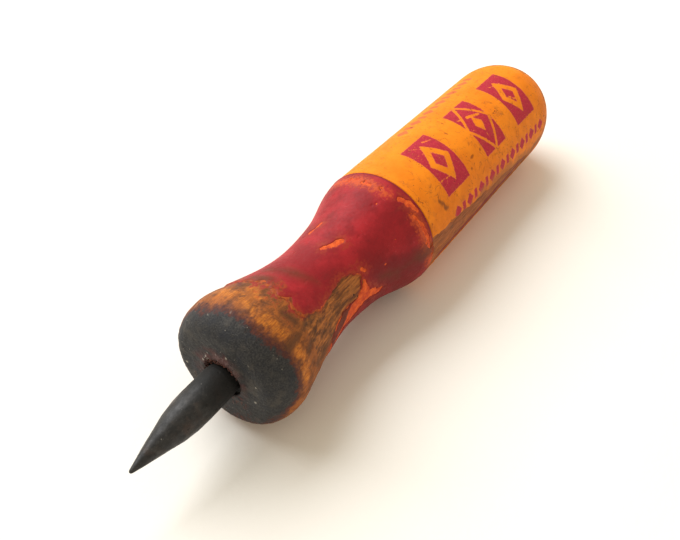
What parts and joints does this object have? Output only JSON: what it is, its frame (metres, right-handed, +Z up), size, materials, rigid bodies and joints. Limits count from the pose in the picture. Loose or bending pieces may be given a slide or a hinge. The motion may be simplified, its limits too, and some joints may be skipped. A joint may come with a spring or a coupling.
{
  "type": "awl",
  "caption": "Short awl: a blackened steel point with a conical tip in a turned wooden handle with a waisted neck, a straight barrel and a domed butt, lacquered red and yellow.",
  "frame": {"origin": "on the surface that the tool lies on, under the middle of its length", "axes": "+X along the tool towards the point, +Z up with the tool lying on its side, its axis 11.0 mm up"},
  "size_m": [0.118, 0.0222, 0.0221],
  "materials": {
    "blackened_steel": "blackened forged steel, satin, with a few worn specks",
    "bare_wood": "worn bare hardwood, dark with handling, open pores",
    "yellow_lacquer": "old yellow-orange brushing lacquer, semi-gloss, with dents and specks",
    "orange_undercoat": "bright orange first coat, matt, seen in the chips of the red",
    "red_lacquer": "old crimson lacquer, semi-gloss, chipped to the orange coat and the wood under it"
  },
  "bodies": {
    "root": {"spike": "blackened_steel", "handle": "bare_wood", "yellow_lacquer": "yellow_lacquer", "orange_undercoat": "orange_undercoat", "red_lacquer": "red_lacquer"}
  },
  "joints": []
}
